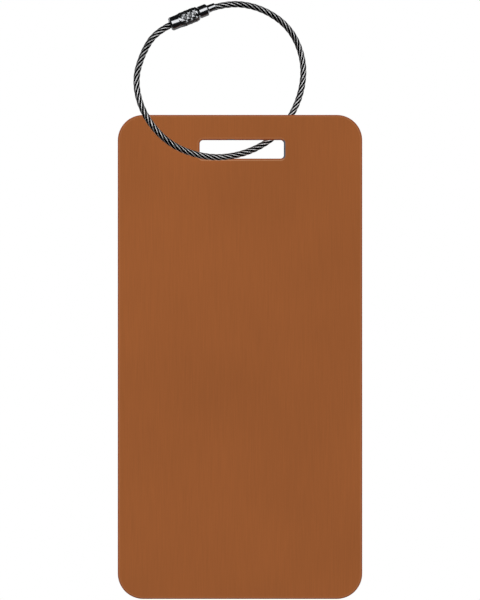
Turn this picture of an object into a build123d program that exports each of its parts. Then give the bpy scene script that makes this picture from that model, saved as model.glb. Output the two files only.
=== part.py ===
from build123d import *
import math
import os

# Luggage tag: a thin metal plate on a loop of steel wire rope, closed by a screw clasp.
# All sizes are in millimetres. The tag hangs upright: +Z up, +X to the right, +Y to the
# back, so the plate's front looks along -Y. The origin is the hang point, on the inside of
# the loop's top, where the loop bears on a bag's handle.

# ---- plate -------------------------------------------------------------------------
PLATE_WIDTH = 70.0
PLATE_HEIGHT = 138.6
PLATE_THICKNESS = 1.2
PLATE_CORNER_RADIUS = 7.3
PLATE_EDGE_ROUNDING = 0.35
PLATE_TOP_Z = -30.8

# ---- slot in the plate, for the cable ----------------------------------------------
SLOT_WIDTH = 24.1
SLOT_HEIGHT = 5.3
SLOT_CORNER_RADIUS = 1.0
SLOT_BEVEL = 0.4
SLOT_CENTRE_X = 0.5           # punched half a millimetre off the plate's centreline
BRIDGE_HEIGHT = 7.2           # metal left between the slot and the plate's top edge

# ---- cable -------------------------------------------------------------------------
CABLE_DIAMETER = 1.75
ARC_SHARE = 0.45              # share of the shorter run that a corner's arc takes up

# ---- clasp: its axis and the stations along it, measured from its middle ------------
CLASP_MIDDLE = (-14.4, -3.2, -3.2)
CLASP_HEADING = 5.0           # degrees from +X towards +Y
CLASP_RISE = 23.0             # degrees above the horizontal
CLASP_RUNNING_CLEARANCE = 0.08

SLEEVE_START = -6.0
SLEEVE_END = 2.8
SLEEVE_COLLAR_LENGTH = 2.85
SLEEVE_COLLAR_DIAMETER = 3.9
SLEEVE_KNURL_DIAMETER = 4.25
SLEEVE_END_WALL = 1.1
SLEEVE_END_CHAMFER = 0.45
SLEEVE_HOLE_DIAMETER = 2.05   # the cable slides and turns freely in it
STUD_DIAMETER = 2.8

FERRULE_SEAM = 0.1            # gap between the sleeve and the ferrule's shoulder
FERRULE_COLLAR_DIAMETER = 3.45
FERRULE_COLLAR_LENGTH = 2.65
FERRULE_TAIL_DIAMETER = 2.2
FERRULE_TAIL_END_DIAMETER = 2.0
FERRULE_TAIL_LENGTH = 2.4
FERRULE_EDGE_CHAMFER = 0.2
FERRULE_BORE_DEPTH = 4.35
STUD_LENGTH = 4.0
THREAD_PITCH = 0.5
THREAD_DEPTH = 0.25
THREAD_CREST_WIDTH = 0.05
THREAD_FLANK_WIDTH = 0.125

STOP_START = -4.8
STOP_LENGTH = 2.5
STOP_DIAMETER = 2.7
STOP_END_CHAMFER = 0.3
STOP_BORE_DEPTH = 2.0

FERRULE_SHOULDER = SLEEVE_END + FERRULE_SEAM
FERRULE_END = FERRULE_SHOULDER + FERRULE_COLLAR_LENGTH + FERRULE_TAIL_LENGTH
CABLE_START = FERRULE_END - FERRULE_BORE_DEPTH
CABLE_END = STOP_START + STOP_BORE_DEPTH
ROUTE_FIRST_CORNER = 10.5     # on the clasp's axis, where the cable starts to bend
ROUTE_LAST_CORNER = -9.8


def clasp_direction():
    """Unit vector along the clasp, from the sleeve's free end to the ferrule's tail."""
    rise, heading = math.radians(CLASP_RISE), math.radians(CLASP_HEADING)
    return Vector(
        math.cos(rise) * math.cos(heading),
        math.cos(rise) * math.sin(heading),
        math.sin(rise),
    )


def clasp_point(station):
    """Point on the clasp's axis at a distance from its middle."""
    return Vector(*CLASP_MIDDLE) + clasp_direction() * station


def on_clasp(outline):
    """Turn a closed (radius, station) outline about the clasp's axis."""
    axis_plane = Plane(
        origin=CLASP_MIDDLE,
        x_dir=Vector(0, 0, 1).cross(clasp_direction()),
        z_dir=clasp_direction(),
    )
    profile = make_face(Plane.XZ * Polyline(*[(r, s) for r, s in outline], close=True))
    return axis_plane * revolve(profile, Axis.Z, 360)


def plate_outline():
    return RectangleRounded(PLATE_WIDTH, PLATE_HEIGHT, PLATE_CORNER_RADIUS)


def build_tag_plate():
    """Flat plate, edges eased front and back, with a bevelled slot near its top."""
    middle = Plane(
        origin=(0, 0, PLATE_TOP_Z - PLATE_HEIGHT / 2),
        x_dir=(1, 0, 0),
        z_dir=(0, -1, 0),
    )
    body = extrude(plate_outline(), amount=PLATE_THICKNESS / 2, both=True)
    rims = body.edges().group_by(Axis.Z)[0] + body.edges().group_by(Axis.Z)[-1]
    body = fillet(rims, PLATE_EDGE_ROUNDING)

    slot_place = Location((SLOT_CENTRE_X, PLATE_HEIGHT / 2 - BRIDGE_HEIGHT - SLOT_HEIGHT / 2, 0))
    slot = RectangleRounded(SLOT_WIDTH, SLOT_HEIGHT, SLOT_CORNER_RADIUS)
    flare = RectangleRounded(
        SLOT_WIDTH + 2 * SLOT_BEVEL, SLOT_HEIGHT + 2 * SLOT_BEVEL, SLOT_CORNER_RADIUS + SLOT_BEVEL
    )
    body -= slot_place * extrude(slot, amount=PLATE_THICKNESS, both=True)
    for side in (1, -1):
        face = Pos(0, 0, side * PLATE_THICKNESS / 2) * flare
        waist = Pos(0, 0, side * (PLATE_THICKNESS / 2 - SLOT_BEVEL)) * slot
        body -= slot_place * loft([waist, face])
    return middle * body


def cable_route():
    """Corners of the cable's route, from inside the ferrule, round the loop, to the stop.

    The loop leans about its vertical: its left side hangs in front of the plate, it goes
    back through the slot, and its right side rises behind the bridge.
    """
    return [
        clasp_point(CABLE_START),
        clasp_point(ROUTE_FIRST_CORNER),
        Vector(5.3, 2.3, 0.8),
        Vector(14.4, 6.0, -4.4),
        Vector(18.7, 7.7, -13.6),
        Vector(18.1, 7.3, -23.5),
        Vector(13.6, 4.9, -33.0),
        Vector(7.2, 1.9, -39.2),
        Vector(-1.6, -2.2, -43.0),
        Vector(-10.4, -6.0, -43.5),
        Vector(-19.8, -9.8, -40.3),
        Vector(-26.8, -11.6, -32.6),
        Vector(-29.6, -10.8, -22.8),
        Vector(-27.4, -7.6, -13.9),
        clasp_point(ROUTE_LAST_CORNER),
        clasp_point(CABLE_END),
    ]


def corner_radii(points):
    """Largest arc that each corner's two runs allow."""
    radii = []
    for before, corner, after in zip(points, points[1:], points[2:]):
        run_in, run_out = corner - before, after - corner
        half_turn = math.radians(run_in.get_angle(run_out)) / 2
        radii.append(ARC_SHARE * min(run_in.length, run_out.length) / math.tan(half_turn))
    return radii


def build_cable_loop():
    """Round tube along the route: straight runs joined by tangent arcs."""
    points = cable_route()
    radii = corner_radii(points)
    path = FilletPolyline(*points, radius=radii)
    section = Plane(origin=points[0], z_dir=clasp_direction()) * Circle(CABLE_DIAMETER / 2)
    tube = sweep(section, path=path)
    expected = path.length * math.pi * (CABLE_DIAMETER / 2) ** 2
    print("cable radii", [round(r, 1) for r in radii])
    print("cable runs", [round((b - a).length, 1) for a, b in zip(points, points[1:])])
    print(f"cable length {path.length:.2f}, volume / (section x length) {tube.volume / expected:.5f}")
    return tube


def build_screw_sleeve():
    """Knurled nut with a smooth collar: the cable passes its end wall, the stud screws in."""
    collar, knurl = SLEEVE_COLLAR_DIAMETER / 2, SLEEVE_KNURL_DIAMETER / 2
    hole, thread = SLEEVE_HOLE_DIAMETER / 2, STUD_DIAMETER / 2 + CLASP_RUNNING_CLEARANCE
    knurl_start = SLEEVE_START + SLEEVE_COLLAR_LENGTH
    ease = knurl - collar
    return on_clasp([
        (hole, SLEEVE_START),
        (collar - SLEEVE_END_CHAMFER, SLEEVE_START),
        (collar, SLEEVE_START + SLEEVE_END_CHAMFER),
        (collar, knurl_start - ease),
        (knurl, knurl_start),
        (knurl, SLEEVE_END - 2 * ease),
        (collar - ease, SLEEVE_END),
        (thread, SLEEVE_END),
        (thread, SLEEVE_START + SLEEVE_END_WALL),
        (hole, SLEEVE_START + SLEEVE_END_WALL),
    ])


def stud_outline():
    """The thread, drawn as rings, from the ferrule's shoulder to the tip, as (radius, station)."""
    crest, root = STUD_DIAMETER / 2, STUD_DIAMETER / 2 - THREAD_DEPTH
    outline = []
    for ring in range(int(STUD_LENGTH / THREAD_PITCH)):
        middle = FERRULE_SHOULDER - (ring + 0.5) * THREAD_PITCH
        half_crest = THREAD_CREST_WIDTH / 2
        half_foot = half_crest + THREAD_FLANK_WIDTH
        outline += [(root, middle + half_foot), (crest, middle + half_crest)]
        outline += [(crest, middle - half_crest), (root, middle - half_foot)]
    return outline + [(root, FERRULE_SHOULDER - STUD_LENGTH), (0, FERRULE_SHOULDER - STUD_LENGTH)]


def build_threaded_ferrule():
    """Smooth collar with a slim tapered tail on the cable, and a threaded stud in the sleeve."""
    bore, collar = CABLE_DIAMETER / 2, FERRULE_COLLAR_DIAMETER / 2
    collar_end = FERRULE_SHOULDER + FERRULE_COLLAR_LENGTH
    return on_clasp([
        (0, CABLE_START),
        (bore, CABLE_START),
        (bore, FERRULE_END),
        (FERRULE_TAIL_END_DIAMETER / 2, FERRULE_END),
        (FERRULE_TAIL_DIAMETER / 2, collar_end + FERRULE_EDGE_CHAMFER),
        (collar, collar_end),
        (collar, FERRULE_SHOULDER + FERRULE_EDGE_CHAMFER),
        (collar - FERRULE_EDGE_CHAMFER, FERRULE_SHOULDER),
        *stud_outline(),
    ])


def build_stop_ferrule():
    """Bead crimped on the cable's other end: it holds the sleeve on the cable."""
    bore, outside = CABLE_DIAMETER / 2, STOP_DIAMETER / 2
    end = STOP_START + STOP_LENGTH
    return on_clasp([
        (bore, STOP_START),
        (outside, STOP_START),
        (outside, end - STOP_END_CHAMFER),
        (outside - STOP_END_CHAMFER, end),
        (0, end),
        (0, CABLE_END),
        (bore, CABLE_END),
    ])


def main():
    parts = {
        "tag_plate": build_tag_plate(),
        "cable_loop": build_cable_loop(),
        "threaded_ferrule": build_threaded_ferrule(),
        "screw_sleeve": build_screw_sleeve(),
        "stop_ferrule": build_stop_ferrule(),
    }
    os.makedirs("parts", exist_ok=True)
    for name, shape in parts.items():
        shape.label = name
        export_step(shape, f"parts/{name}.step")


main()
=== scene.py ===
import math

import bmesh
import bpy
from mathutils import Matrix, Vector


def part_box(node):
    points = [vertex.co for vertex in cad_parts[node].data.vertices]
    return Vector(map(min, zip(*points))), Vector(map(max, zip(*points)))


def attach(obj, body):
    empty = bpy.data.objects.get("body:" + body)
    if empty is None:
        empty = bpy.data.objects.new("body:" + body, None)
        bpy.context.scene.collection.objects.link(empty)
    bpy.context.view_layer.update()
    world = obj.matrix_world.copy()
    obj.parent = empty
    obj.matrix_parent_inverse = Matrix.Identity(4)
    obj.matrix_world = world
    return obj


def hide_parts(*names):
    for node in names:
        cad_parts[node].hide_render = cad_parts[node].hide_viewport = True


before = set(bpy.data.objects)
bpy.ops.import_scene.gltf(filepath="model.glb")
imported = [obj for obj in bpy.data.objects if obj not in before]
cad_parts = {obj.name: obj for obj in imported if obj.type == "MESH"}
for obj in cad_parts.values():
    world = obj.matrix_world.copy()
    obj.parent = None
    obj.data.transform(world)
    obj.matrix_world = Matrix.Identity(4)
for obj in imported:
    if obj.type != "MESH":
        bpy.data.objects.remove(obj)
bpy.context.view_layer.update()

# A luggage tag: a brushed metal plate hung on a loop of steel wire rope with a knurled
# screw clasp. Everything is in metres in the row's frame: +Z up, the front looks along -Y,
# and the origin is the hang point inside the loop's top.

MM = 0.001
SCENE = bpy.context.scene

# ---- sizes that the frame's boxes don't give, as in the CAD part ---------------------
PLATE_CORNER_RADIUS = 7.3 * MM
SLOT_WIDTH = 24.1 * MM
SLOT_HEIGHT = 5.3 * MM
SLOT_CORNER_RADIUS = 1.0 * MM
SLOT_CENTRE_X = 0.5 * MM
BRIDGE_HEIGHT = 7.2 * MM
EDGE_ROUNDING = 0.35 * MM
SLOT_ROUNDING = 0.4 * MM
FACE_BAND = 0.5 * MM          # strip of flat face beside an eased edge, with its own faces
PLATE_CORNER_STEPS = 16
SLOT_CORNER_STEPS = 8

ROPE_DIAMETER = 1.75 * MM
ROPE_STRANDS = 6
ROPE_LAY = 11.9 * MM          # length in which a strand goes once round the rope
STRAND_RADIUS = 0.3 * MM
ROPE_SPREAD = 0.04 * MM       # the open lay stands this much proud of the nominal radius
STRAND_WIRES = 6              # outer wires in a strand, drawn flat by its die
WIRE_LAY = 3.8 * MM           # length in which a wire goes once round its strand
RINGS_PER_LAY = 30            # rings of points along a strand in one rope lay

CLASP_MIDDLE = Vector((-14.4, -3.2, -3.2)) * MM
CLASP_HEADING = math.radians(5.0)
CLASP_RISE = math.radians(23.0)
CLASP_AXIS = Vector((
    math.cos(CLASP_RISE) * math.cos(CLASP_HEADING),
    math.cos(CLASP_RISE) * math.sin(CLASP_HEADING),
    math.sin(CLASP_RISE),
))
# Names in START, END or SHOULDER are stations on the clasp's axis, measured from its middle
# towards the ferrule's tail. COLLAR, TAIL, LIP, HOLE, BORE, ROOT, LAND and CREST are radii.
SLEEVE_START = -6.0 * MM
SLEEVE_END = 2.8 * MM
SLEEVE_WALL_END = -4.9 * MM
SLEEVE_COLLAR = 1.95 * MM
SLEEVE_HOLE = 1.025 * MM
SLEEVE_BORE = 1.48 * MM
KNURL_START = -3.15 * MM
KNURL_ROOT = 1.98 * MM
KNURL_LAND = 2.0 * MM
KNURL_CREST = 2.125 * MM
KNURL_DIAMONDS = 11           # diamonds round the sleeve in one row
KNURL_ROWS = 6
KNURL_MARGIN = 0.1 * MM       # plain land left before the first row
KNURL_END = SLEEVE_END - 0.45 * MM
KNURL_SUNK = 0.03 * MM        # the diamonds' feet go this far into the sleeve's body
DIAMOND_TOP, DIAMOND_FOOT = 0.13, 0.5   # radii of its flat top and its foot, one diamond wide
FERRULE_SHOULDER = 2.9 * MM
FERRULE_COLLAR_END = 5.55 * MM
FERRULE_END = 7.95 * MM
FERRULE_COLLAR = 1.725 * MM
FERRULE_TAIL = 1.1 * MM
FERRULE_TAIL_LIP = 1.0 * MM
PIN_HOLE = 0.02 * MM          # the ferrule's outline closes on itself just off its axis
LEAD_IN = 0.1 * MM            # chamfer at the mouth of the sleeve's bore and hole
STUD_CREST = 1.4 * MM
STUD_ROOT = 1.15 * MM
STUD_END = -1.1 * MM
THREAD_PITCH = 0.5 * MM
ROPE_START = 3.6 * MM
ROPE_END = -2.8 * MM


def clasp_point(station):
    """Point on the clasp's axis at a distance from its middle."""
    return CLASP_MIDDLE + CLASP_AXIS * station


# ---- nodes ---------------------------------------------------------------------------
class Wiring:
    """Adds nodes to one tree and joins them. A value is a number, a vector or a socket."""

    def __init__(self, tree):
        self.tree = tree

    def add(self, kind, **settings):
        node = self.tree.nodes.new(kind)
        for name, value in settings.items():
            setattr(node, name, value)
        return node

    def feed(self, socket, value):
        if isinstance(value, bpy.types.NodeSocket):
            self.tree.links.new(value, socket)
        else:
            socket.default_value = value

    def feed_all(self, node, values):
        for name, value in values.items():
            self.feed(node.inputs[name], value)

    def math(self, operation, *values):
        node = self.add("ShaderNodeMath", operation=operation)
        for socket, value in zip(node.inputs, values):
            self.feed(socket, value)
        return node.outputs["Value"]

    def vector(self, operation, *values, scale=None):
        node = self.add("ShaderNodeVectorMath", operation=operation)
        for socket, value in zip(node.inputs, values):
            self.feed(socket, value)
        if scale is not None:
            self.feed(node.inputs["Scale"], scale)
        return node.outputs["Value" if operation in ("LENGTH", "DOT_PRODUCT") else "Vector"]

    def combine(self, x, y, z):
        node = self.add("ShaderNodeCombineXYZ")
        for socket, value in zip(node.inputs, (x, y, z)):
            self.feed(socket, value)
        return node.outputs["Vector"]

    def separate(self, vector):
        node = self.add("ShaderNodeSeparateXYZ")
        self.feed(node.inputs["Vector"], vector)
        return node.outputs["X"], node.outputs["Y"], node.outputs["Z"]

    def ramp(self, value, low, high):
        """Smooth step from 0 to 1 as the value goes from low to high."""
        node = self.add("ShaderNodeMapRange", interpolation_type="SMOOTHSTEP")
        self.feed_all(node, {"Value": value, "From Min": low, "From Max": high})
        return node.outputs["Result"]

    def noise(self, vector, detail=3.0, roughness=0.55, scale=1.0):
        node = self.add("ShaderNodeTexNoise")
        self.feed_all(node, {
            "Vector": vector, "Scale": scale, "Detail": detail, "Roughness": roughness,
        })
        return node.outputs["Fac"]

    def mix(self, share, first, second):
        """Colour between two colours."""
        node = self.add("ShaderNodeMix", data_type="RGBA")
        self.feed_all(node, {"Factor": share, "A": first, "B": second})
        return node.outputs["Result"]

    def blend(self, share, first, second):
        """Number between two numbers."""
        node = self.add("ShaderNodeMix", data_type="FLOAT")
        self.feed_all(node, {"Factor": share, "A": first, "B": second})
        return node.outputs["Result"]

    def toned(self, color, tone):
        """Colour made lighter or darker by a number."""
        node = self.add("ShaderNodeMix", data_type="RGBA", blend_type="MULTIPLY")
        self.feed_all(node, {"Factor": 1.0, "A": color, "B": self.combine(tone, tone, tone)})
        return node.outputs["Result"]

    def use(self, group, **values):
        """Places a node group; a keyword's underscores stand for spaces in its input's name."""
        node = self.add("ShaderNodeGroup", node_tree=group)
        for name, value in values.items():
            self.feed(node.inputs[name.replace("_", " ")], value)
        return node.outputs


def shader_group(name, inputs, outputs):
    """An empty node group with these sockets. Returns it, its wiring, its inputs and end."""
    group = bpy.data.node_groups.new(name, "ShaderNodeTree")
    for label, kind in inputs.items():
        group.interface.new_socket(label, in_out="INPUT", socket_type=kind)
    for label, kind in outputs.items():
        group.interface.new_socket(label, in_out="OUTPUT", socket_type=kind)
    wire = Wiring(group)
    return group, wire, wire.add("NodeGroupInput").outputs, wire.add("NodeGroupOutput").inputs


NUMBER, POINT = "NodeSocketFloat", "NodeSocketVector"


def grain_group():
    """Brushed or turned metal's grain: streaks, finer specks, and slow clouds of tone."""
    group, wire, given, end = shader_group(
        "metal_grain",
        {"Position": POINT, "Streak Size": POINT, "Cloud Size": NUMBER},
        {"Streaks": NUMBER, "Specks": NUMBER, "Clouds": NUMBER},
    )
    along = wire.vector("DIVIDE", given["Position"], given["Streak Size"])
    wire.feed(end["Streaks"], wire.noise(along, detail=4.0, roughness=0.6))
    wire.feed(end["Specks"], wire.noise(wire.vector("SCALE", along, scale=2.7), detail=1.0))
    slow = wire.vector("SCALE", given["Position"], scale=wire.math("DIVIDE", 1.0, given["Cloud Size"]))
    wire.feed(end["Clouds"], wire.noise(slow, detail=2.0, roughness=0.45))
    return group


def outline_group():
    """Distance in from the outline of a rounded rectangle in the XZ plane."""
    group, wire, given, end = shader_group(
        "distance_from_outline",
        {"Position": POINT, "Centre": POINT, "Half Size": POINT, "Corner Radius": NUMBER},
        {"Distance": NUMBER},
    )
    offset = wire.vector("ABSOLUTE", wire.vector("SUBTRACT", given["Position"], given["Centre"]))
    corner = wire.combine(given["Corner Radius"], 0.0, given["Corner Radius"])
    beyond = wire.vector("SUBTRACT", offset, wire.vector("SUBTRACT", given["Half Size"], corner))
    x, _, z = wire.separate(beyond)
    round_x, round_z = wire.math("MAXIMUM", x, 0.0), wire.math("MAXIMUM", z, 0.0)
    outside = wire.vector("LENGTH", wire.combine(round_x, 0.0, round_z))
    inside = wire.math("MINIMUM", wire.math("MAXIMUM", x, z), 0.0)
    past = wire.math("SUBTRACT", wire.math("ADD", outside, inside), given["Corner Radius"])
    wire.feed(end["Distance"], wire.math("MULTIPLY", past, -1.0))
    return group


def clasp_place_group():
    """Place in the clasp: across, across, along its axis, and the radius from the axis."""
    group, wire, given, end = shader_group(
        "place_in_clasp", {"Position": POINT}, {"Place": POINT, "Radius": NUMBER}
    )
    first = CLASP_AXIS.cross(Vector((0, 0, 1))).normalized()
    second = CLASP_AXIS.cross(first)
    offset = wire.vector("SUBTRACT", given["Position"], tuple(CLASP_MIDDLE))
    across, rise, along = (
        wire.vector("DOT_PRODUCT", offset, tuple(axis)) for axis in (first, second, CLASP_AXIS)
    )
    wire.feed(end["Place"], wire.combine(across, rise, along))
    wire.feed(end["Radius"], wire.vector("LENGTH", wire.combine(across, rise, 0.0)))
    return group


# ---- meshes --------------------------------------------------------------------------
def new_piece(name, mesh, material):
    piece = bpy.data.objects.new(name, mesh)
    SCENE.collection.objects.link(piece)
    mesh.materials.clear()
    mesh.materials.append(material)
    return piece


def rounded_rectangle(centre_x, centre_z, width, height, radius, steps):
    """Points round a rectangle with arcs for corners, as (x, z)."""
    points = []
    for corner in range(4):
        side_x = 1 if corner in (0, 3) else -1
        side_z = 1 if corner in (0, 1) else -1
        middle_x = centre_x + side_x * (width / 2 - radius)
        middle_z = centre_z + side_z * (height / 2 - radius)
        for step in range(steps + 1):
            angle = (corner + step / steps) * math.pi / 2
            points.append((middle_x + radius * math.cos(angle), middle_z + radius * math.sin(angle)))
    return points


def add_rings(bm, rings):
    """Closed rings of points, joined by strips of quads. Returns the rings' vertices."""
    made = [[bm.verts.new(point) for point in ring] for ring in rings]
    for low, high in zip(made, made[1:]):
        for i in range(len(low)):
            j = (i + 1) % len(low)
            bm.faces.new((low[i], low[j], high[j], high[i]))
    return made


def loop_edges(bm, ring):
    return [bm.edges.get((a, b)) for a, b in zip(ring, ring[1:] + ring[:1])]


def edge_profile(flat, rounding, half_thickness, steps=5):
    """Section of an eased edge, from the front face to the back face, as (inset, y)."""
    front = [(rounding + flat, -half_thickness)]
    for step in range(steps + 1):
        angle = step / steps * math.pi / 2
        front.append((
            rounding * (1 - math.sin(angle)),
            -half_thickness + rounding * (1 - math.cos(angle)),
        ))
    return front + [(inset, -y) for inset, y in reversed(front)]


def slot_middle(high):
    """Height of the slot's middle, from the plate's highest corner."""
    return high.z - BRIDGE_HEIGHT - SLOT_HEIGHT / 2


def build_plate(material):
    """The plate's outline and its slot, each with eased edges, filled front and back."""
    low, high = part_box("tag_plate")
    centre_x, centre_z = (low.x + high.x) / 2, (low.z + high.z) / 2
    width, height, half = high.x - low.x, high.z - low.z, (high.y - low.y) / 2
    middle_y = (low.y + high.y) / 2
    bm = bmesh.new()
    outside, inside = [], []
    for inset, y in edge_profile(FACE_BAND, EDGE_ROUNDING, half):
        outline = rounded_rectangle(
            centre_x, centre_z, width - 2 * inset, height - 2 * inset,
            PLATE_CORNER_RADIUS - inset, PLATE_CORNER_STEPS,
        )
        outside.append([(x, middle_y + y, z) for x, z in outline])
    for inset, y in edge_profile(FACE_BAND, SLOT_ROUNDING, half):
        outline = rounded_rectangle(
            SLOT_CENTRE_X, slot_middle(high), SLOT_WIDTH + 2 * inset, SLOT_HEIGHT + 2 * inset,
            SLOT_CORNER_RADIUS + inset, SLOT_CORNER_STEPS,
        )
        inside.append([(x, middle_y + y, z) for x, z in outline])
    outer_rings, inner_rings = add_rings(bm, outside), add_rings(bm, inside)
    for side in (0, -1):
        edges = loop_edges(bm, outer_rings[side]) + loop_edges(bm, inner_rings[side])
        bmesh.ops.triangle_fill(bm, use_beauty=True, edges=edges)
    bmesh.ops.recalc_face_normals(bm, faces=bm.faces)
    mesh = bpy.data.meshes.new("tag_plate_brushed")
    bm.to_mesh(mesh)
    bm.free()
    mesh.shade_smooth()
    return new_piece("tag_plate_brushed", mesh, material)


def clasp_matrix():
    """Turns +Z into the clasp's axis and moves the origin to the clasp's middle."""
    turn = Vector((0, 0, 1)).rotation_difference(CLASP_AXIS).to_matrix().to_4x4()
    return Matrix.Translation(CLASP_MIDDLE) @ turn


def lathe(name, outline, material, segments=96):
    """A closed outline of (station, radius) points turned about the clasp's axis."""
    vertices, faces = [], []
    for station, radius in outline:
        for k in range(segments):
            angle = 2 * math.pi * k / segments
            vertices.append((radius * math.cos(angle), radius * math.sin(angle), station))
    for i in range(len(outline)):
        j = (i + 1) % len(outline)
        for k in range(segments):
            m = (k + 1) % segments
            faces.append((i * segments + k, i * segments + m, j * segments + m, j * segments + k))
    mesh = bpy.data.meshes.new(name)
    mesh.from_pydata(vertices, [], faces)
    mesh.shade_smooth()
    mesh.set_sharp_from_angle(angle=math.radians(25))
    bm = bmesh.new()
    bm.from_mesh(mesh)
    bmesh.ops.recalc_face_normals(bm, faces=bm.faces)
    bm.to_mesh(mesh)
    bm.free()
    mesh.transform(clasp_matrix())
    return new_piece(name, mesh, material)


# ---- the clasp -----------------------------------------------------------------------
def build_sleeve(material):
    """The nut's body: a smooth collar, a cut-down middle for the knurl, and its bore."""
    return lathe("screw_sleeve_turned", [
        (SLEEVE_START, SLEEVE_HOLE + LEAD_IN),
        (SLEEVE_START, SLEEVE_COLLAR - 0.45 * MM),
        (SLEEVE_START + 0.08 * MM, SLEEVE_COLLAR - 0.33 * MM),
        (SLEEVE_START + 0.4 * MM, SLEEVE_COLLAR - 0.05 * MM),
        (SLEEVE_START + 0.5 * MM, SLEEVE_COLLAR),
        (KNURL_START - 0.3 * MM, SLEEVE_COLLAR),
        (KNURL_START - 0.22 * MM, SLEEVE_COLLAR - 0.03 * MM),
        (KNURL_START, KNURL_LAND),
        (KNURL_START + 0.15 * MM, KNURL_LAND),
        (KNURL_START + 0.22 * MM, KNURL_ROOT),
        (SLEEVE_END - 0.65 * MM, KNURL_ROOT),
        (SLEEVE_END - 0.5 * MM, KNURL_LAND),
        (SLEEVE_END - 0.4 * MM, KNURL_LAND),
        (SLEEVE_END, SLEEVE_COLLAR - 0.25 * MM),
        (SLEEVE_END, SLEEVE_BORE + LEAD_IN),
        (SLEEVE_END - LEAD_IN, SLEEVE_BORE),
        (SLEEVE_WALL_END, SLEEVE_BORE),
        (SLEEVE_WALL_END, SLEEVE_HOLE),
        (SLEEVE_START + LEAD_IN, SLEEVE_HOLE),
    ], material)


def thread_outline():
    """The stud's thread as rings, from the shoulder down to the tip."""
    points = []
    for ring in range(round((FERRULE_SHOULDER - STUD_END) / THREAD_PITCH)):
        middle = FERRULE_SHOULDER - (ring + 0.5) * THREAD_PITCH
        points += [(middle + 0.3 * THREAD_PITCH, STUD_ROOT), (middle + 0.05 * THREAD_PITCH, STUD_CREST)]
        points += [(middle - 0.05 * THREAD_PITCH, STUD_CREST), (middle - 0.3 * THREAD_PITCH, STUD_ROOT)]
    return points


def build_ferrule(material):
    """The collar crimped on the rope, with its tapered tail, and the stud that screws in."""
    rope_radius = ROPE_DIAMETER / 2
    return lathe("threaded_ferrule_turned", [
        (ROPE_START, PIN_HOLE),
        (ROPE_START, rope_radius),
        (FERRULE_END, rope_radius),
        (FERRULE_END, FERRULE_TAIL_LIP - 0.05 * MM),
        (FERRULE_END - 0.05 * MM, FERRULE_TAIL_LIP),
        (FERRULE_COLLAR_END + 0.35 * MM, FERRULE_TAIL),
        (FERRULE_COLLAR_END + 0.2 * MM, FERRULE_TAIL + 0.08 * MM),
        (FERRULE_COLLAR_END - 0.1 * MM, FERRULE_COLLAR - 0.1 * MM),
        (FERRULE_COLLAR_END - 0.2 * MM, FERRULE_COLLAR),
        (FERRULE_SHOULDER + 0.25 * MM, FERRULE_COLLAR),
        (FERRULE_SHOULDER + 0.15 * MM, FERRULE_COLLAR - 0.05 * MM),
        (FERRULE_SHOULDER, FERRULE_COLLAR - 0.2 * MM),
        *thread_outline(),
        (STUD_END, STUD_ROOT - 0.05 * MM),
        (STUD_END, PIN_HOLE),
    ], material)


def knurl_tree():
    """Geometry Nodes: staggered rings of small four-sided pyramids round an axis."""
    tree = bpy.data.node_groups.new("diamond_knurl", "GeometryNodeTree")
    for name, kind in (
        ("Diamonds Around", "NodeSocketInt"), ("Rows", "NodeSocketInt"), ("Start", "NodeSocketFloat"),
        ("Row Spacing", "NodeSocketFloat"), ("Root Radius", "NodeSocketFloat"),
        ("Height", "NodeSocketFloat"), ("Steel", "NodeSocketMaterial"),
    ):
        tree.interface.new_socket(name, in_out="INPUT", socket_type=kind)
    tree.interface.new_socket("Geometry", in_out="OUTPUT", socket_type="NodeSocketGeometry")
    wire = Wiring(tree)
    given = wire.add("NodeGroupInput").outputs
    index = wire.add("GeometryNodeInputIndex").outputs["Index"]
    row = wire.math("FLOOR", wire.math("DIVIDE", index, given["Diamonds Around"]))
    column = wire.math("MODULO", index, given["Diamonds Around"])
    stagger = wire.math("MULTIPLY", wire.math("MODULO", row, 2.0), 0.5)
    share = wire.math("DIVIDE", wire.math("ADD", column, stagger), given["Diamonds Around"])
    angle = wire.math("MULTIPLY", share, 2 * math.pi)
    outward = wire.combine(wire.math("COSINE", angle), wire.math("SINE", angle), 0.0)
    station = wire.math("MULTIPLY_ADD", row, given["Row Spacing"], given["Start"])
    away = wire.vector("SCALE", outward, scale=given["Root Radius"])
    place = wire.vector("ADD", away, wire.combine(0.0, 0.0, station))
    points = wire.add("GeometryNodePoints")
    wire.feed(points.inputs["Count"], wire.math("MULTIPLY", given["Diamonds Around"], given["Rows"]))
    wire.feed(points.inputs["Position"], place)
    pyramid = wire.add("GeometryNodeMeshCone", fill_type="NGON")
    wire.feed_all(pyramid, {
        "Vertices": 4, "Radius Top": DIAMOND_TOP, "Radius Bottom": DIAMOND_FOOT, "Depth": 1.0,
    })
    turn = wire.add("FunctionNodeAxesToRotation", primary_axis="Z", secondary_axis="X")
    wire.feed(turn.inputs["Primary Axis"], outward)
    wire.feed(turn.inputs["Secondary Axis"], (0, 0, 1))
    girth = wire.math("MULTIPLY", given["Root Radius"], 2 * math.pi)
    width = wire.math("DIVIDE", girth, given["Diamonds Around"])
    length = wire.math("MULTIPLY", given["Row Spacing"], 2.0)
    placed = wire.add("GeometryNodeInstanceOnPoints")
    wire.feed(placed.inputs["Points"], points.outputs["Points"])
    wire.feed(placed.inputs["Instance"], pyramid.outputs["Mesh"])
    wire.feed(placed.inputs["Rotation"], turn.outputs["Rotation"])
    wire.feed(placed.inputs["Scale"], wire.combine(length, width, given["Height"]))
    real = wire.add("GeometryNodeRealizeInstances")
    wire.feed(real.inputs["Geometry"], placed.outputs["Instances"])
    finish = wire.add("GeometryNodeSetMaterial")
    wire.feed(finish.inputs["Geometry"], real.outputs["Geometry"])
    wire.feed(finish.inputs["Material"], given["Steel"])
    wire.feed(wire.add("NodeGroupOutput").inputs["Geometry"], finish.outputs["Geometry"])
    return tree


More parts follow.
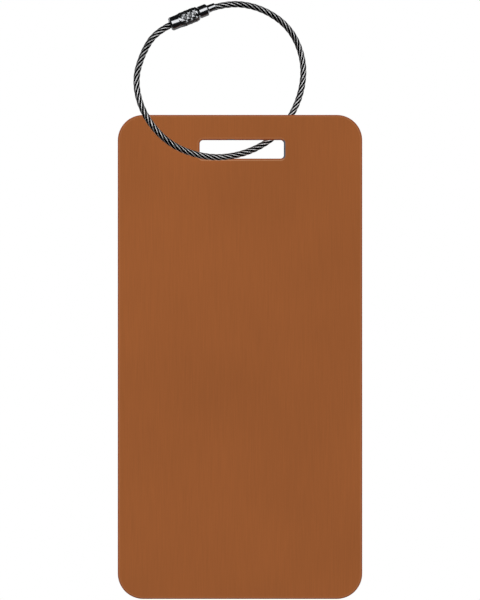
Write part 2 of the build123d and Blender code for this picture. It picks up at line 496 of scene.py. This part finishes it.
def grown(name, tree, values, material):
    """A plain mesh piece made by a Geometry Nodes tree with these input values."""
    holder = bpy.data.objects.new(name, bpy.data.meshes.new(name + "_holder"))
    SCENE.collection.objects.link(holder)
    modifier = holder.modifiers.new("nodes", "NODES")
    modifier.node_group = tree
    for item in tree.interface.items_tree:
        if item.in_out == "INPUT":
            modifier[item.identifier] = values[item.name]
    bpy.context.view_layer.update()
    evaluated = holder.evaluated_get(bpy.context.evaluated_depsgraph_get())
    mesh = bpy.data.meshes.new_from_object(evaluated)
    bpy.data.objects.remove(holder)
    return new_piece(name, mesh, material)


def build_knurl(material):
    """Diamonds all over the sleeve's middle, their crests at the knurl's diameter."""
    start = KNURL_START + KNURL_MARGIN
    spacing = (KNURL_END - start) / (KNURL_ROWS + 1)
    piece = grown("screw_sleeve_knurl", knurl_tree(), {
        "Diamonds Around": KNURL_DIAMONDS,
        "Rows": KNURL_ROWS,
        "Start": start + spacing,
        "Row Spacing": spacing,
        "Root Radius": KNURL_ROOT - KNURL_SUNK,
        "Height": KNURL_CREST - KNURL_ROOT + KNURL_SUNK,
        "Steel": material,
    }, material)
    piece.data.shade_flat()
    piece.data.transform(clasp_matrix())
    return piece


# ---- the rope ------------------------------------------------------------------------
# The route's corners: out of the ferrule, over the top to the right, down behind the
# bridge, forward through the slot, up in front of the plate's left, and into the sleeve.
ROUTE = [
    clasp_point(ROPE_START),
    clasp_point(10.5 * MM),
    Vector((5.3, 2.3, 0.8)) * MM,
    Vector((14.4, 6.0, -4.4)) * MM,
    Vector((18.7, 7.7, -13.6)) * MM,
    Vector((18.1, 7.3, -23.5)) * MM,
    Vector((13.6, 4.9, -33.0)) * MM,
    Vector((7.2, 1.9, -39.2)) * MM,
    Vector((-1.6, -2.2, -43.0)) * MM,
    Vector((-10.4, -6.0, -43.5)) * MM,
    Vector((-19.8, -9.8, -40.3)) * MM,
    Vector((-26.8, -11.6, -32.6)) * MM,
    Vector((-29.6, -10.8, -22.8)) * MM,
    Vector((-27.4, -7.6, -13.9)) * MM,
    clasp_point(-9.8 * MM),
    clasp_point(ROPE_END),
]


def route_line():
    """The smooth line of the rope's middle, read from a NURBS spline on the route."""
    curve = bpy.data.curves.new("rope_route", "CURVE")
    curve.dimensions = "3D"
    curve.resolution_u = 32
    spline = curve.splines.new("NURBS")
    spline.points.add(len(ROUTE) - 1)
    for point, place in zip(spline.points, ROUTE):
        point.co = (*place, 1.0)
    spline.order_u = 3
    spline.use_endpoint_u = True
    holder = bpy.data.objects.new("rope_route", curve)
    SCENE.collection.objects.link(holder)
    bpy.context.view_layer.update()
    evaluated = holder.evaluated_get(bpy.context.evaluated_depsgraph_get())
    line_mesh = bpy.data.meshes.new_from_object(evaluated)
    line = [vertex.co.copy() for vertex in line_mesh.vertices]
    bpy.data.objects.remove(holder)
    bpy.data.meshes.remove(line_mesh)
    return line


def even_steps(line, step):
    """Points along a line, the same distance apart, with the distance travelled."""
    lengths = [0.0]
    for a, b in zip(line, line[1:]):
        lengths.append(lengths[-1] + (b - a).length)
    count = max(2, round(lengths[-1] / step))
    points, i = [], 0
    for k in range(count + 1):
        target = lengths[-1] * k / count
        while i < len(line) - 2 and lengths[i + 1] < target:
            i += 1
        share = (target - lengths[i]) / max(lengths[i + 1] - lengths[i], 1e-12)
        points.append((line[i].lerp(line[i + 1], share), target))
    return points


def carried_frames(points):
    """Along, across and third directions at each point, carried along without twist."""
    frames = []
    across = Vector((0, 0, 1))
    for i in range(len(points)):
        before, after = points[max(i - 1, 0)], points[min(i + 1, len(points) - 1)]
        along = (after - before).normalized()
        across = (across - along * across.dot(along)).normalized()
        frames.append((along, across, along.cross(across)))
    return frames


def strand_section():
    """Radii and angles round a strand: flattened outer wires with a groove between each two."""
    shape = ((0.0, 0.94), (0.2, 0.99), (0.5, 1.0), (0.8, 0.99))
    return [
        ((wire + share) / STRAND_WIRES, STRAND_RADIUS * size)
        for wire in range(STRAND_WIRES)
        for share, size in shape
    ]


def add_strand(bm, uv_layer, centres, outward):
    """A closed strand round the centres. outward gives each ring's first direction."""
    rings, travelled = [], [0.0]
    section = strand_section()
    sides = len(section)
    frames = carried_frames(centres)
    for a, b in zip(centres, centres[1:]):
        travelled.append(travelled[-1] + (b - a).length)
    for centre, (along, _, _), start, length in zip(centres, frames, outward, travelled):
        first = (start - along * start.dot(along)).normalized()
        second = along.cross(first)
        ring = []
        for turn, radius in section:
            angle = 2 * math.pi * (turn - length / WIRE_LAY)
            direction = first * math.cos(angle) + second * math.sin(angle)
            ring.append(bm.verts.new(centre + direction * radius))
        rings.append(ring)
    turns = [turn for turn, _ in section] + [1.0]
    for i, (low, high) in enumerate(zip(rings, rings[1:])):
        for k in range(sides):
            m = (k + 1) % sides
            face = bm.faces.new((low[k], low[m], high[m], high[k]))
            corners = ((k, i), (k + 1, i), (k + 1, i + 1), (k, i + 1))
            for loop, (column, row) in zip(face.loops, corners):
                loop[uv_layer].uv = (turns[column] - travelled[row] / WIRE_LAY, travelled[row] / MM)
    bm.faces.new(list(reversed(rings[0])))
    bm.faces.new(rings[-1])


def build_rope(line, material):
    """Strands laid right-handed round a core, each of drawn wires that turn the other way."""
    steps = even_steps(line, ROPE_LAY / RINGS_PER_LAY)
    points = [point for point, _ in steps]
    frames = carried_frames(points)
    lay_radius = ROPE_DIAMETER / 2 - STRAND_RADIUS + ROPE_SPREAD
    bm = bmesh.new()
    uv_layer = bm.loops.layers.uv.new("rope")
    for strand in range(ROPE_STRANDS):
        centres, outward = [], []
        for (point, travelled), (_, across, third) in zip(steps, frames):
            angle = 2 * math.pi * (travelled / ROPE_LAY + strand / ROPE_STRANDS)
            direction = across * math.cos(angle) + third * math.sin(angle)
            centres.append(point + direction * lay_radius)
            outward.append(direction)
        add_strand(bm, uv_layer, centres, outward)
    add_strand(bm, uv_layer, points, [across for _, across, _ in frames])
    bmesh.ops.recalc_face_normals(bm, faces=bm.faces)
    mesh = bpy.data.meshes.new("wire_rope")
    bm.to_mesh(mesh)
    bm.free()
    mesh.shade_smooth()
    mesh.set_sharp_from_angle(angle=math.radians(60))
    return new_piece("wire_rope", mesh, material)


# ---- materials -----------------------------------------------------------------------
def new_metal(name):
    """A metal with an empty wiring: returns the material, its wiring and its shader."""
    material = bpy.data.materials.new(name)
    material.use_nodes = True
    shader = material.node_tree.nodes["Principled BSDF"]
    shader.inputs["Metallic"].default_value = 1.0
    return material, Wiring(material.node_tree), shader.inputs


def position_of(wire):
    return wire.add("ShaderNodeTexCoord").outputs["Object"]


def bump(wire, height, distance):
    node = wire.add("ShaderNodeBump")
    wire.feed_all(node, {"Strength": 1.0, "Distance": distance, "Height": height})
    return node.outputs["Normal"]


COPPER = (0.42, 0.1325, 0.0365, 1)
COPPER_RIM = (0.46, 0.10, 0.018, 1)
# paler copper painted just inside the edges as a highlight
COPPER_HIGHLIGHT = (0.62, 0.29, 0.14, 1)
CUT_METAL = (0.10, 0.13, 0.17, 1)
STEEL = (0.52, 0.53, 0.55, 1)
# near-white colour painted along the strands' crests as a highlight
PAINTED_HIGHLIGHT_STEEL = (0.98, 0.98, 0.99, 1)
# near-black painted shade for grooves and the gaps between strands
PAINTED_SHADE = (0.012, 0.012, 0.013, 1)

# Each grain is a streak's size along X, Y and Z, or across, across and along the clasp.
PLATE_GRAIN = Vector((0.22, 0.22, 9.0)) * MM
PLATE_CLOUD = 45.0 * MM
TURNED_GRAIN = Vector((3.0, 3.0, 0.07)) * MM
KNURL_GRAIN = Vector((0.4, 0.4, 0.4)) * MM
CLASP_CLOUD = 2.0 * MM
ROPE_GRAIN = (0.05, 1.0, 5.0)             # turns of a strand, unused, and mm along it
ROPE_CLOUD = 9.0

PLATE_METALLIC, RIM_METALLIC = 0.85, 0.25
PLATE_ROUGHNESS, PLATE_ROUGHNESS_SPREAD, BARE_ROUGHNESS = 0.42, 0.10, 0.28
PLATE_ANISOTROPY = 0.3
PLATE_BRUSHING_DEPTH = 0.004 * MM
RIM_WANDER = 0.16 * MM                    # how far the eased edge's colour strays inward
RIM_WANDER_SCALE, WORN_PATCH_SCALE = 900.0, 260.0
WORN_PATCH_START, WORN_PATCH_FULL = 0.56, 0.62
# strength of the painted highlight line on the face and under the slot
FACE_HIGHLIGHT, UNDER_SLOT_HIGHLIGHT = 0.25, 0.9

CREST_BRIGHT, CREST_DARK = 0.97, 0.84     # cosine of the angle from a strand's outermost line; painted highlight above the first, painted shade below the second
CREST_WANDER = 0.25
# less metal on the crests, so that their near-white colour shows as a painted highlight under any light
CREST_METALLIC = 0.45
TURNED_ROUGHNESS = 0.1


def plate_slot(outline, wire, position, low, high):
    """Distance in from the slot's outline, which is below zero out on the face."""
    size = Vector((SLOT_WIDTH / 2, (high.y - low.y) / 2, SLOT_HEIGHT / 2))
    centre = (SLOT_CENTRE_X, (low.y + high.y) / 2, slot_middle(high))
    return wire.use(
        outline, Position=position, Centre=centre, Half_Size=tuple(size),
        Corner_Radius=SLOT_CORNER_RADIUS,
    )["Distance"]


def painted_edge_highlight(wire, near, slot, height, slot_bottom):
    """Painted highlight: a thin paler line just inside every edge, strongest below the slot."""
    line = wire.math(
        "MULTIPLY", wire.ramp(near, 0.28 * MM, 0.38 * MM), wire.ramp(near, 0.68 * MM, 0.46 * MM)
    )
    under_slot = wire.math(
        "MULTIPLY",
        wire.ramp(height, slot_bottom, slot_bottom - 0.1 * MM),
        wire.ramp(slot, -1.2 * MM, -0.9 * MM),
    )
    return wire.math("MULTIPLY", line, wire.blend(under_slot, FACE_HIGHLIGHT, UNDER_SLOT_HIGHLIGHT))


def bare_metal(wire, position, slot, across, depth):
    """Patches down the cut edges, and the slot's right end, where the colour has worn off."""
    spots = wire.noise(position, scale=WORN_PATCH_SCALE, detail=3.0)
    patches = wire.ramp(spots, WORN_PATCH_START, WORN_PATCH_FULL)
    down_the_edge = wire.ramp(depth, 0.05 * MM, 0.16 * MM)
    slot_end = SLOT_CENTRE_X + SLOT_WIDTH / 2
    worn_end = wire.math(
        "MULTIPLY",
        wire.ramp(across, slot_end - 0.3 * MM, slot_end - 0.05 * MM),
        wire.ramp(slot, -0.5 * MM, -0.4 * MM),
    )
    return wire.math("MAXIMUM", wire.math("MULTIPLY", patches, down_the_edge), worn_end)


def brushed_copper(grain, outline):
    """Copper-brown satin face, brushed lengthwise, with bare metal where the edges are cut."""
    material, wire, shader = new_metal("brushed_copper")
    position = position_of(wire)
    x, y, z = wire.separate(position)
    low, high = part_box("tag_plate")
    middle, half = (low + high) / 2, (high - low) / 2
    marks = wire.use(grain, Position=position, Streak_Size=PLATE_GRAIN, Cloud_Size=PLATE_CLOUD)
    rim = wire.use(
        outline, Position=position, Centre=tuple(middle), Half_Size=tuple(half),
        Corner_Radius=PLATE_CORNER_RADIUS,
    )["Distance"]
    slot = plate_slot(outline, wire, position, low, high)
    inset = wire.math("MINIMUM", rim, wire.math("MULTIPLY", slot, -1.0))
    wander = wire.noise(position, scale=RIM_WANDER_SCALE, detail=2.0)
    near = wire.math("MULTIPLY_ADD", wander, -RIM_WANDER, inset)
    depth = wire.math("SUBTRACT", half.y, wire.math("ABSOLUTE", wire.math("SUBTRACT", y, middle.y)))

    streaks, clouds = (wire.blend(marks[name], 0.84, 1.16) for name in ("Streaks", "Clouds"))
    color = wire.toned(COPPER, wire.math("MULTIPLY", streaks, clouds))
    slot_bottom = slot_middle(high) - SLOT_HEIGHT / 2
    # Painted highlight: a paler line just inside the edges, strongest under the slot.
    color = wire.mix(painted_edge_highlight(wire, near, slot, z, slot_bottom), color, COPPER_HIGHLIGHT)
    eased = wire.ramp(near, 0.34 * MM, 0.16 * MM)
    color = wire.mix(eased, color, COPPER_RIM)
    bare = bare_metal(wire, position, slot, x, depth)
    wire.feed(shader["Base Color"], wire.mix(bare, color, CUT_METAL))

    edge = wire.math("MAXIMUM", eased, bare)
    wire.feed(shader["Metallic"], wire.blend(edge, PLATE_METALLIC, RIM_METALLIC))
    rough = wire.math("MULTIPLY_ADD", marks["Streaks"], PLATE_ROUGHNESS_SPREAD, PLATE_ROUGHNESS)
    wire.feed(shader["Roughness"], wire.blend(bare, rough, BARE_ROUGHNESS))
    brushing = wire.math("MULTIPLY", marks["Streaks"], wire.math("SUBTRACT", 1.0, bare))
    wire.feed(shader["Normal"], bump(wire, brushing, PLATE_BRUSHING_DEPTH))
    shader["Anisotropic"].default_value = PLATE_ANISOTROPY
    return material


def rope_steel(grain):
    """Drawn wire: a painted highlight where each strand stands outward, painted shade down between the
    strands.
    """
    material, wire, shader = new_metal("rope_steel")
    uv = wire.add("ShaderNodeUVMap", uv_map="rope").outputs["UV"]
    turn, along, _ = wire.separate(uv)
    place = wire.combine(turn, 0.0, along)
    marks = wire.use(grain, Position=place, Streak_Size=ROPE_GRAIN, Cloud_Size=ROPE_CLOUD)

    outward = wire.math("COSINE", wire.math("MULTIPLY", turn, 2 * math.pi))
    stray = wire.math("SUBTRACT", marks["Clouds"], 0.5)
    crest = wire.ramp(wire.math("MULTIPLY_ADD", stray, CREST_WANDER, outward), CREST_DARK, CREST_BRIGHT)
    wire_turn = wire.math("MULTIPLY_ADD", along, MM / WIRE_LAY, turn)
    wires = wire.math("FRACT", wire.math("MULTIPLY", wire_turn, float(STRAND_WIRES)))
    off_middle = wire.math("ABSOLUTE", wire.math("SUBTRACT", wires, 0.5))
    groove = wire.ramp(wire.math("SUBTRACT", 0.5, off_middle), 0.1, 0.0)

    # Painted highlight: near-white steel along each strand's crest, streaked.
    color = wire.toned(PAINTED_HIGHLIGHT_STEEL, wire.blend(marks["Streaks"], 0.85, 1.1))
    # Painted shade in the grooves between a strand's wires.
    color = wire.mix(wire.math("MULTIPLY", groove, 0.6), color, PAINTED_SHADE)
    # Painted shade down between the strands, away from each crest.
    wire.feed(shader["Base Color"], wire.mix(crest, PAINTED_SHADE, color))
    wire.feed(shader["Metallic"], wire.blend(crest, 1.0, CREST_METALLIC))
    rough = wire.math("MULTIPLY_ADD", marks["Clouds"], 0.15, 0.2)
    wire.feed(shader["Roughness"], wire.blend(crest, 0.3, rough))
    wire.feed(shader["Normal"], bump(wire, marks["Streaks"], 0.003 * MM))
    return material


def turned_steel(grain, clasp_place):
    """Steel turned on a lathe: fine lines round the clasp's axis."""
    material, wire, shader = new_metal("turned_steel")
    place = wire.use(clasp_place, Position=position_of(wire))["Place"]
    marks = wire.use(grain, Position=place, Streak_Size=TURNED_GRAIN, Cloud_Size=CLASP_CLOUD)
    wire.feed(shader["Base Color"], wire.toned(STEEL, wire.blend(marks["Streaks"], 0.88, 1.06)))
    rough = wire.math("MULTIPLY_ADD", marks["Clouds"], 0.1, TURNED_ROUGHNESS)
    wire.feed(shader["Roughness"], rough)
    wire.feed(shader["Normal"], bump(wire, marks["Streaks"], 0.0025 * MM))
    return material


def knurled_steel(grain, clasp_place):
    """Rolled diamonds: plain steel crests, with painted shade down in the grooves."""
    material, wire, shader = new_metal("knurled_steel")
    place = wire.use(clasp_place, Position=position_of(wire))
    marks = wire.use(
        grain, Position=place["Place"], Streak_Size=KNURL_GRAIN, Cloud_Size=CLASP_CLOUD
    )
    # Painted shade: the grooves near the root radius are darkened towards black.
    groove = wire.ramp(place["Radius"], KNURL_ROOT + 0.06 * MM, KNURL_ROOT + 0.01 * MM)
    color = wire.toned(STEEL, wire.blend(marks["Streaks"], 0.85, 1.1))
    color = wire.mix(wire.math("MULTIPLY", groove, 0.8), color, PAINTED_SHADE)
    wire.feed(shader["Base Color"], color)
    rough = wire.math("MULTIPLY_ADD", marks["Streaks"], 0.16, 0.14)
    wire.feed(shader["Roughness"], wire.blend(groove, rough, 0.5))
    wire.feed(shader["Normal"], bump(wire, marks["Specks"], 0.004 * MM))
    return material


# ---- surroundings --------------------------------------------------------------------
CAMERA_LENS = 100.0
CAMERA_DISTANCE = 477.5 * MM
CAMERA_HEIGHT = -83.8 * MM
FLOOR_DEPTH = -1.0
FLOOR_RADIUS = 2.0
FLOOR_SIDES = 72
PALE = (0.86, 0.86, 0.85, 1)
WHITE = (1, 1, 1, 1)
UNLIT = (0.012, 0.012, 0.013, 1)
LIGHT_DISTANCE = 1.0


def place_camera():
    data = bpy.data.cameras.new("camera")
    data.lens = CAMERA_LENS
    camera = bpy.data.objects.new("camera", data)
    camera.location = (0, -CAMERA_DISTANCE, CAMERA_HEIGHT)
    camera.rotation_euler = (math.pi / 2, 0, 0)
    SCENE.collection.objects.link(camera)
    SCENE.camera = camera


def piece_middle(piece):
    corners = [Vector(corner) for corner in piece.bound_box]
    return sum(corners, Vector()) / len(corners)


def soft_light(name, azimuth, elevation, spread, radiance, lit):
    """A flat softbox, unseen itself, for some pieces alone: they are lit and none shades another.

    azimuth runs from the front towards +X. spread is its half angle across and its half angle up.
    """
    turn, rise = math.radians(azimuth), math.radians(elevation)
    direction = Vector((
        math.sin(turn) * math.cos(rise),
        -math.cos(turn) * math.cos(rise),
        math.sin(rise),
    ))
    width, height = (2 * LIGHT_DISTANCE * math.tan(math.radians(angle)) for angle in spread)
    data = bpy.data.lights.new(name, "AREA")
    data.shape = "RECTANGLE"
    data.size, data.size_y = width, height
    data.energy = radiance * math.pi * width * height
    light = bpy.data.objects.new(name, data)
    middle = sum((piece_middle(piece) for piece in lit), Vector()) / len(lit)
    light.location = middle + direction * LIGHT_DISTANCE
    light.rotation_euler = direction.to_track_quat("Z", "Y").to_euler()
    light.visible_camera = False
    SCENE.collection.objects.link(light)
    for_these = bpy.data.collections.new(name + "_pieces")
    for piece in lit:
        for_these.objects.link(piece)
    light.light_linking.receiver_collection = for_these
    light.light_linking.blocker_collection = for_these


def build_world():
    """White to the camera, and nearly black to the light that falls on the object."""
    world = bpy.data.worlds.new("studio")
    world.use_nodes = True
    wire = Wiring(world.node_tree)
    seen = wire.add("ShaderNodeLightPath").outputs["Is Camera Ray"]
    background = world.node_tree.nodes["Background"].inputs
    wire.feed(background["Color"], wire.mix(seen, UNLIT, WHITE))
    SCENE.world = world


def build_floor():
    """A plain disc well below the hanging tag, pale to the camera alone."""
    angles = [2 * math.pi * k / FLOOR_SIDES for k in range(FLOOR_SIDES)]
    mesh = bpy.data.meshes.new("floor")
    ring = [(FLOOR_RADIUS * math.cos(a), FLOOR_RADIUS * math.sin(a), FLOOR_DEPTH) for a in angles]
    mesh.from_pydata(ring, [], [list(range(FLOOR_SIDES))])
    material = bpy.data.materials.new("pale_floor")
    material.use_nodes = True
    shader = material.node_tree.nodes["Principled BSDF"].inputs
    shader["Base Color"].default_value = PALE
    shader["Emission Color"].default_value = PALE
    wire = Wiring(material.node_tree)
    wire.feed(shader["Emission Strength"], wire.add("ShaderNodeLightPath").outputs["Is Camera Ray"])
    new_piece("floor", mesh, material)


place_camera()
build_world()
build_floor()
SCENE.view_settings.view_transform = "Standard"

# ---- the object ----------------------------------------------------------------------
rope_line = route_line()
grain, outline, clasp_place = grain_group(), outline_group(), clasp_place_group()
polished = turned_steel(grain, clasp_place)
knurled = knurled_steel(grain, clasp_place)

rope = build_rope(rope_line, rope_steel(grain))
plate = build_plate(brushed_copper(grain, outline))
sleeve = build_sleeve(polished)
knurl = build_knurl(knurled)
ferrule = build_ferrule(polished)
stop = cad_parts["stop_ferrule"]
stop.data.materials.clear()
stop.data.materials.append(polished)

for piece, body, node, slot in (
    (rope, "loop", "cable_loop", "steel_wire_rope"),
    (plate, "plate", "tag_plate", "brushed_copper_plate"),
    (sleeve, "sleeve", "screw_sleeve", "knurled_steel"),
    (knurl, "sleeve", "screw_sleeve", "knurled_steel"),
    (ferrule, "loop", "threaded_ferrule", "polished_steel"),
):
    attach(piece, body)
    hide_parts(node)

# Each light: its name, azimuth, elevation, spread and radiance.
PLATE_LIGHTS = (
    ("plate_front", 0, -5, (43, 46), 0.843),
    ("plate_above", 0, 85, (35, 35), 0.8),
    ("plate_left", -80, 10, (25, 35), 0.7),
    ("plate_right", 80, 10, (25, 35), 0.7),
    ("plate_back", 180, -5, (43, 46), 0.843),
)
STEEL_LIGHTS = (
    ("steel_front", 14, 16, (44, 21), 1.6),
    ("steel_left", -115, 10, (14, 30), 0.6),
    ("steel_right", 115, 10, (14, 30), 0.6),
    ("steel_back", 165, 4, (35, 18), 0.9),
    ("steel_below", 180, -55, (50, 16), 0.28),
)
for light in PLATE_LIGHTS:
    soft_light(*light, lit=[plate])
for light in STEEL_LIGHTS:
    soft_light(*light, lit=[rope, sleeve, knurl, ferrule])
